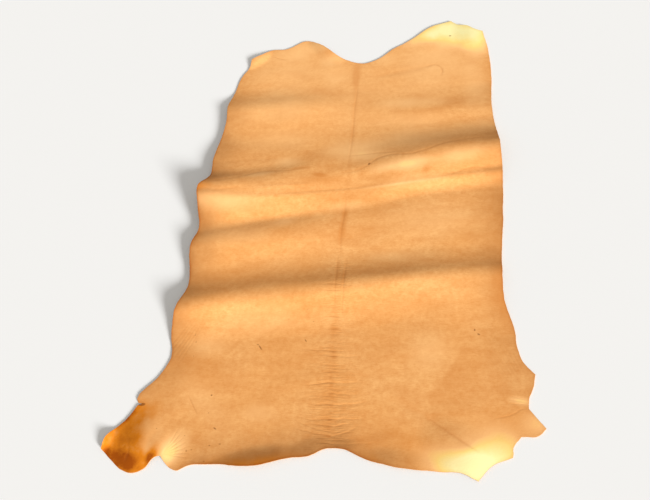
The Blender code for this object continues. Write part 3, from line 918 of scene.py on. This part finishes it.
ring_size = len(rim)
if len(grain_flat) != ring_size + len(grain_points) or len(flesh_flat) != ring_size + len(flesh_points):
    raise ValueError("the triangulation merged or added points")
outer = outward(rim)
flesh_places = lifted(flesh_flat, underside(*flesh_flat.T))
grain_places = lifted(grain_flat, grain_height(*grain_flat.T))
wall_low = flesh_places[:ring_size] + [0, 0, EDGE_ROUND]
wall_high = grain_places[:ring_size] - [0, 0, EDGE_ROUND]
grain_places[:ring_size, :2] -= EDGE_ROUND * outer
flesh_places[:ring_size, :2] -= EDGE_ROUND * outer
every_place = np.concatenate([grain_places, wall_high, wall_low, flesh_places])
high_start = len(grain_places)
low_start = high_start + ring_size
flesh_start = low_start + ring_size


def band(lower, upper):
    """Triangles between two rows of rim points, facing outwards."""
    here = np.arange(ring_size)
    after = (here + 1) % ring_size
    first = np.stack([lower + here, lower + after, upper + after], axis=1)
    second = np.stack([lower + here, upper + after, upper + here], axis=1)
    return np.concatenate([first, second])


cut_faces = np.concatenate([band(high_start, 0), band(low_start, high_start), band(flesh_start, low_start)])
every_face = np.concatenate([grain_faces, flesh_faces[:, ::-1] + flesh_start, cut_faces])
side_of_face = np.repeat((0, 1, 2), (len(grain_faces), len(flesh_faces), len(cut_faces)))

skin = bpy.data.meshes.new("leather hide")
skin.from_pydata(every_place.tolist(), [], every_face.tolist())
skin.polygons.foreach_set("material_index", side_of_face.tolist())
skin.polygons.foreach_set("use_smooth", [True] * len(every_face))
skin.update()
hide = bpy.data.objects.new("leather_hide", skin)
bpy.context.scene.collection.objects.link(hide)
print("sheet triangles:", len(every_face), "highest point", round(every_place[:, 2].max(), 4))

# %% Mark the knife's corners so that the cut edge shades crisply
crisp = bmesh.new()
crisp.from_mesh(skin)
crisp.verts.ensure_lookup_table()
for edge in crisp.edges:
    a, b = (vert.index for vert in edge.verts)
    on_grain_rim = a < ring_size and b < ring_size
    on_flesh_rim = flesh_start <= a < flesh_start + ring_size and flesh_start <= b < flesh_start + ring_size
    if (on_grain_rim or on_flesh_rim) and len({face.material_index for face in edge.link_faces}) == 2:
        edge.smooth = False
open_edges = sum(not edge.is_manifold for edge in crisp.edges)
crisp.to_mesh(skin)
crisp.free()
print("open edges:", open_edges)

# %% Write the tones onto the points
EDGE_REACH = 0.130
EDGE_FADE = 1.3
RIM_REACH = 0.008
LEAST_RIM_STAIN = 0.2
DARKEST_GROOVE = 1.2


def paint(name, values):
    layer = skin.attributes.new(name, "FLOAT", "POINT")
    layer.data.foreach_set("value", np.asarray(values, np.float32))


spots = every_place[:, :2] - backbone_and_neck
spot_x, spot_y = spots.T
# Painted shade in the bottoms of wrinkles, fans and creases, with the knots' own darker spots.
groove_dark = wrinkle_depth(spot_x, spot_y)[1] + crease_depth(spot_x, spot_y)[1]
groove_dark += ovals(KNOTS, spot_x, spot_y)
paint("groove", np.clip(groove_dark, 0, DARKEST_GROOVE))
brown, burnt = (np.clip(ovals(rows, spot_x, spot_y), 0, 1) for rows in (BROWNING_AND_SHADE, BURNT))
paint("browning_and_shade", brown + burnt)
paint("painted_light_and_paleness", ovals(PAINTED_LIGHT_AND_PALENESS, spot_x, spot_y))
paint("shaded", ovals(SHADED, spot_x, spot_y) + veils(spot_x, spot_y))
paint("ribbed", ovals(RIBBED, spot_x, spot_y))
paint("marks", np.clip(ovals(MARKS, spot_x, spot_y), 0, 1))
inward = distance_to(spots, rim)
edge_tan = ovals(EDGE_TANNED, spot_x, spot_y)
paint("edge_tanned", edge_tan * np.clip(1 - inward / EDGE_REACH, 0, 1) ** EDGE_FADE)
paint("rim_stained", np.clip(edge_tan, LEAST_RIM_STAIN, 1) * np.clip(1 - inward / RIM_REACH, 0, 1))
print("tones:", [layer.name for layer in skin.attributes if layer.domain == "POINT"])

# %% [markdown]
# ## A flat map of the hide
#
# A tanned hide is its own pattern: laid flat, every place on it has two numbers. We keep them as a UV map in
# metres, so that anything painted on the leather later follows the skin over its folds.

# %% Unwrap the hide onto the floor
flat_map = skin.uv_layers.new(name="UVMap")
corner_points = np.empty(len(skin.loops), np.int32)
skin.loops.foreach_get("vertex_index", corner_points)
flat_map.data.foreach_set("uv", (spots / RUMP_REACH)[corner_points].ravel())
print("map runs", np.round(spots.min(axis=0), 3), "to", np.round(spots.max(axis=0), 3))


# %% [markdown]
# ## The grain's finish
#
# Undyed vegetable-tanned leather gets its colour from bark, so it is never even: clouds a hand wide, a finer
# mottle, and pores that hold more tan. It is matt, with a faint shine only at a low angle. We mix the
# colour from those layers and let the tones painted above darken or lighten it; some of them are painted
# shade along the folds and painted light on the crests and corners. The bump carries pores and fine lines.

# %% Helpers for wiring a finish
def new_finish(name, roughness, specular):
    finish = bpy.data.materials.new(name)
    finish.use_nodes = True
    tree = finish.node_tree
    tree.nodes.clear()
    output = tree.nodes.new("ShaderNodeOutputMaterial")
    shader = tree.nodes.new("ShaderNodeBsdfPrincipled")
    shader.inputs["Roughness"].default_value = roughness
    shader.inputs["Specular IOR Level"].default_value = specular
    tree.links.new(shader.outputs["BSDF"], output.inputs["Surface"])
    return finish, tree, shader


def stretched_places(tree, stretch=(1, 1, 1), turned=0.0):
    """The hide's own coordinates in metres, squeezed or turned for a pattern with a direction."""
    places = tree.nodes.new("ShaderNodeTexCoord")
    mapping = tree.nodes.new("ShaderNodeMapping")
    mapping.inputs["Scale"].default_value = stretch
    mapping.inputs["Rotation"].default_value = (0, 0, radians(turned))
    tree.links.new(places.outputs["Object"], mapping.inputs["Vector"])
    return mapping.outputs["Vector"]


def clouds(tree, places, size, detail=3.0, rough=0.5):
    pattern = tree.nodes.new("ShaderNodeTexNoise")
    pattern.inputs["Scale"].default_value = 1 / size
    pattern.inputs["Detail"].default_value = detail
    pattern.inputs["Roughness"].default_value = rough
    tree.links.new(places, pattern.inputs["Vector"])
    return pattern.outputs["Fac"]


def cells(tree, places, size, feature="F1"):
    pattern = tree.nodes.new("ShaderNodeTexVoronoi")
    pattern.feature = feature
    pattern.inputs["Scale"].default_value = 1 / size
    tree.links.new(places, pattern.inputs["Vector"])
    return pattern.outputs["Distance"]


def spread(tree, value, from_low, from_high, to_low=0.0, to_high=1.0):
    """Read value between two levels as a number between two others."""
    node = tree.nodes.new("ShaderNodeMapRange")
    node.inputs["From Min"].default_value = from_low
    node.inputs["From Max"].default_value = from_high
    node.inputs["To Min"].default_value = to_low
    node.inputs["To Max"].default_value = to_high
    tree.links.new(value, node.inputs["Value"])
    return node.outputs["Result"]


def tone(tree, name):
    node = tree.nodes.new("ShaderNodeAttribute")
    node.attribute_name = name
    return node.outputs["Fac"]


def times(tree, a, b):
    node = tree.nodes.new("ShaderNodeMath")
    node.operation = "MULTIPLY"
    for socket, value in zip(node.inputs, (a, b)):
        if isinstance(value, float):
            socket.default_value = value
        else:
            tree.links.new(value, socket)
    return node.outputs["Value"]


def blend(tree, share, under, over, mode="MIX"):
    """Lay one colour over another by a share."""
    node = tree.nodes.new("ShaderNodeMix")
    node.data_type = "RGBA"
    node.blend_type = mode
    tree.links.new(share, node.inputs["Factor"])
    for socket, colour in ((node.inputs[6], under), (node.inputs[7], over)):
        if isinstance(colour, tuple):
            socket.default_value = (*colour, 1)
        else:
            tree.links.new(colour, socket)
    return node.outputs[2]


def bump(tree, height, strength, distance, after=None):
    node = tree.nodes.new("ShaderNodeBump")
    node.inputs["Strength"].default_value = strength
    node.inputs["Distance"].default_value = distance
    tree.links.new(height, node.inputs["Height"])
    if after is not None:
        tree.links.new(after, node.inputs["Normal"])
    return node.outputs["Normal"]


# %% Mix the grain side
HONEY = (0.870, 0.446, 0.160)
LIGHT_HONEY = (0.925, 0.508, 0.200)
# Deep tan is both the leather's darker mottle and the colour of painted shade.
DEEP_TAN = (0.640, 0.235, 0.050)
EDGE_TAN = (0.470, 0.200, 0.060)
RUSSET = (0.680, 0.215, 0.010)
TOASTED = (0.360, 0.078, 0.001)
BARK = (0.200, 0.060, 0.010)
# Groove brown is both the pores' own colour and the painted shade in wrinkle and crease bottoms.
GROOVE_BROWN = (0.560, 0.200, 0.045)
# Lit honey, straw and pale straw are the colours of painted light.
LIT_HONEY = (1.000, 0.590, 0.262)
STRAW = (1.000, 0.760, 0.255)
PALE_STRAW = (1.000, 0.945, 0.500)
grain, tree, shader = new_finish("grain side", roughness=0.74, specular=0.13)
places = stretched_places(tree)
across_places = stretched_places(tree, (0.45, 1.6, 1))
rib_places = stretched_places(tree, (0.16, 1.3, 1))
cloud = spread(tree, clouds(tree, places, 0.22, 3.0), 0.38, 0.62)
colour = blend(tree, cloud, HONEY, LIGHT_HONEY)
streaks = spread(tree, clouds(tree, across_places, 0.050, 4.0), 0.42, 0.70, 0.0, 0.30)
colour = blend(tree, streaks, colour, DEEP_TAN)
mottle = spread(tree, clouds(tree, places, 0.016, 5.0, 0.65), 0.35, 0.70, 0.0, 0.40)
colour = blend(tree, mottle, colour, DEEP_TAN)
freckles = spread(tree, clouds(tree, across_places, 0.0048, 3.0, 0.6), 0.45, 0.72, 0.0, 0.34)
colour = blend(tree, freckles, colour, DEEP_TAN)
pores = spread(tree, cells(tree, places, 0.0022), 0.05, 0.32, 0.26, 0.0)
colour = blend(tree, pores, colour, GROOVE_BROWN)
edge_wander = spread(tree, clouds(tree, places, 0.06, 3.0), 0.3, 0.7, 0.70, 1.20)
colour = blend(tree, times(tree, tone(tree, "edge_tanned"), edge_wander), colour, EDGE_TAN)
# Painted shade along the folds, and darker leather along the backbone and flanks, mixed towards deep tan.
colour = blend(tree, spread(tree, tone(tree, "shaded"), 0.0, 1.0, 0.0, 0.70), colour, DEEP_TAN)
# Painted light and paler leather, mixed towards lit honey, then straw, and at its strongest pale straw.
painted_light_wander = spread(tree, clouds(tree, places, 0.06, 3.0), 0.3, 0.7, 0.75, 1.15)
painted_light_and_paleness = times(tree, tone(tree, "painted_light_and_paleness"), painted_light_wander)
colour = blend(tree, spread(tree, painted_light_and_paleness, 0.0, 0.65), colour, LIT_HONEY)
colour = blend(tree, spread(tree, painted_light_and_paleness, 0.5, 1.15), colour, STRAW)
colour = blend(tree, spread(tree, painted_light_and_paleness, 1.0, 1.9), colour, PALE_STRAW)
# Browning of the forelegs and the right cheek, with painted shade at the neck edge and by two folds, mixed
# towards russet and then toasted.
brown_wander = spread(tree, clouds(tree, places, 0.03, 5.0, 0.6), 0.3, 0.7, 0.66, 1.34)
browning_and_shade = times(tree, tone(tree, "browning_and_shade"), brown_wander)
colour = blend(tree, spread(tree, browning_and_shade, 0.0, 1.0), colour, RUSSET)
colour = blend(tree, spread(tree, browning_and_shade, 1.0, 2.0), colour, TOASTED)
# Painted shade in the wrinkle and crease bottoms, and the knots, mixed towards groove brown.
colour = blend(tree, spread(tree, tone(tree, "groove"), 0.0, 1.0, 0.0, 0.62), colour, GROOVE_BROWN)
rim_stain = times(tree, spread(tree, tone(tree, "rim_stained"), 0.0, 1.0, 0.0, 0.7), edge_wander)
colour = blend(tree, rim_stain, colour, TOASTED)
colour = blend(tree, spread(tree, tone(tree, "marks"), 0.15, 0.8, 0.0, 0.72), colour, BARK)
tree.links.new(colour, shader.inputs["Base Color"])
fat_lines = spread(tree, cells(tree, across_places, 0.0075, "DISTANCE_TO_EDGE"), 0.0, 0.10)
ribs = times(tree, clouds(tree, rib_places, 0.0038, 2.0), spread(tree, tone(tree, "ribbed"), 0.0, 0.7))
surface = bump(tree, fat_lines, 0.12, 0.0005)
surface = bump(tree, clouds(tree, places, 0.004, 3.0), 0.18, 0.0008, surface)
surface = bump(tree, ribs, 0.48, 0.0013, surface)
surface = bump(tree, pores, 0.30, -0.0002, surface)
tree.links.new(surface, shader.inputs["Normal"])
print("grain side nodes:", len(tree.nodes))

# %% [markdown]
# ## The flesh side and the cut edge
#
# Underneath, the leather was split or shaved, so it is a pale suede of loose fibres with no shine. The
# cut edge shows the same fibres end on, packed tight and a little darker. Both are seen only where a flap
# curls or from below, but they tell a real skin from a plastic sheet.

# %% Mix the flesh side and the cut edge
SUEDE = (0.780, 0.520, 0.290)
SUEDE_SHADOW = (0.600, 0.350, 0.160)
CUT_TAN = (0.640, 0.350, 0.145)
CUT_DARK = (0.420, 0.190, 0.060)
flesh, tree, shader = new_finish("flesh side", roughness=0.92, specular=0.15)
shader.inputs["Sheen Weight"].default_value = 0.15
shader.inputs["Sheen Roughness"].default_value = 0.6
places = stretched_places(tree)
fibre_places = stretched_places(tree, (0.4, 1.5, 1), 25)
naps = spread(tree, clouds(tree, fibre_places, 0.003, 5.0, 0.65), 0.3, 0.7)
colour = blend(tree, naps, SUEDE_SHADOW, SUEDE)
patches = spread(tree, clouds(tree, places, 0.08, 3.0), 0.4, 0.7, 0.0, 0.45)
colour = blend(tree, patches, colour, SUEDE_SHADOW)
tree.links.new(colour, shader.inputs["Base Color"])
tree.links.new(bump(tree, naps, 0.6, 0.0006), shader.inputs["Normal"])

cut_edge, tree, shader = new_finish("cut edge", roughness=0.8, specular=0.2)
places = stretched_places(tree, (1, 1, 2.5))
fibres = spread(tree, clouds(tree, places, 0.0016, 4.0, 0.6), 0.3, 0.7)
tree.links.new(blend(tree, fibres, CUT_DARK, CUT_TAN), shader.inputs["Base Color"])
tree.links.new(bump(tree, fibres, 0.4, 0.0003), shader.inputs["Normal"])
for finish in (grain, flesh, cut_edge):
    skin.materials.append(finish)
print("finishes:", [finish.name for finish in skin.materials])

# %% [markdown]
# ## Tell the frame about the sheet
#
# The new sheet takes the solid's place and rides on the hide's one body. It was cut about 1.17 m across and
# 1.66 m long, measured over its folds, and it lies on the floor.

bpy.context.view_layer.update()
grain_corners = every_place[grain_faces]
sides = np.cross(grain_corners[:, 1] - grain_corners[:, 0], grain_corners[:, 2] - grain_corners[:, 0])
print("grain side area", round(np.linalg.norm(sides, axis=1).sum() / 2, 3), "square metres")

# %% Floor
bpy.ops.object.select_all(action="DESELECT")
bpy.ops.mesh.primitive_plane_add(size=14, location=(0, 0, -0.0003))
floor = bpy.context.object
floor.name = "floor"
paper, tree, shader = new_finish("pale paper", roughness=0.9, specular=0.1)
shader.inputs["Base Color"].default_value = (0.86, 0.91, 1.00, 1)
floor.data.materials.append(paper)

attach(hide, "root")
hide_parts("hide")
print("sheet declared")

# %% [markdown]
# ## Light
#
# Low light from one side is what makes folds and wrinkles in leather readable: each slope that faces the
# light glows, and each that turns away goes dark. One large warm lamp stands low beyond the neck, and a
# dim even sky fills the shadows.

# %% Low warm lamp and a dim sky
LAMP_ELEVATION = radians(16)
LAMP_AZIMUTH = radians(-40)
bpy.ops.object.light_add(type="SUN", location=(2, -2, 1))
lamp = bpy.context.object
level = cos(LAMP_ELEVATION)
to_lamp = Vector((level * cos(LAMP_AZIMUTH), level * sin(LAMP_AZIMUTH), sin(LAMP_ELEVATION)))
lamp.rotation_euler = to_lamp.to_track_quat("Z", "Y").to_euler()
lamp.data.energy = 6.3
lamp.data.angle = radians(14)
lamp.data.color = (1.0, 0.95, 0.86)
sky = bpy.data.worlds.new("sky")
bpy.context.scene.world = sky
sky.use_nodes = True
sky.node_tree.nodes["Background"].inputs["Color"].default_value = (1.0, 0.91, 0.78, 1)
sky.node_tree.nodes["Background"].inputs["Strength"].default_value = 0.50
bpy.context.scene.view_settings.view_transform = "Standard"

# %% [markdown]
# ## Camera
#
# The picture was taken by someone standing at the neck and leaning over, with the camera held a little
# askew. So the neck is near and wide, the rump is far and narrow, and the backbone leans.

# %% Camera at the photograph's place
CAMERA_PLACE = (0.3275, -1.0900, 1.600)
HEADING = radians(20)
PITCH = radians(58)
ROLL = radians(-18)
level_right = Vector((cos(HEADING), sin(HEADING), 0))
forward = Vector((-sin(HEADING) * cos(PITCH), cos(HEADING) * cos(PITCH), -sin(PITCH)))
level_up = level_right.cross(forward)
image_right = cos(ROLL) * level_right + sin(ROLL) * level_up
image_up = cos(ROLL) * level_up - sin(ROLL) * level_right
turned = Matrix((image_right, image_up, -forward)).transposed()
bpy.ops.object.camera_add(location=CAMERA_PLACE, rotation=turned.to_euler())
camera = bpy.context.object
camera.data.lens = 34.34
camera.data.sensor_width = 36
bpy.context.scene.camera = camera
print("camera turned", [round(angle, 3) for angle in camera.rotation_euler])

# %% Update the scene and finish
bpy.context.view_layer.update()
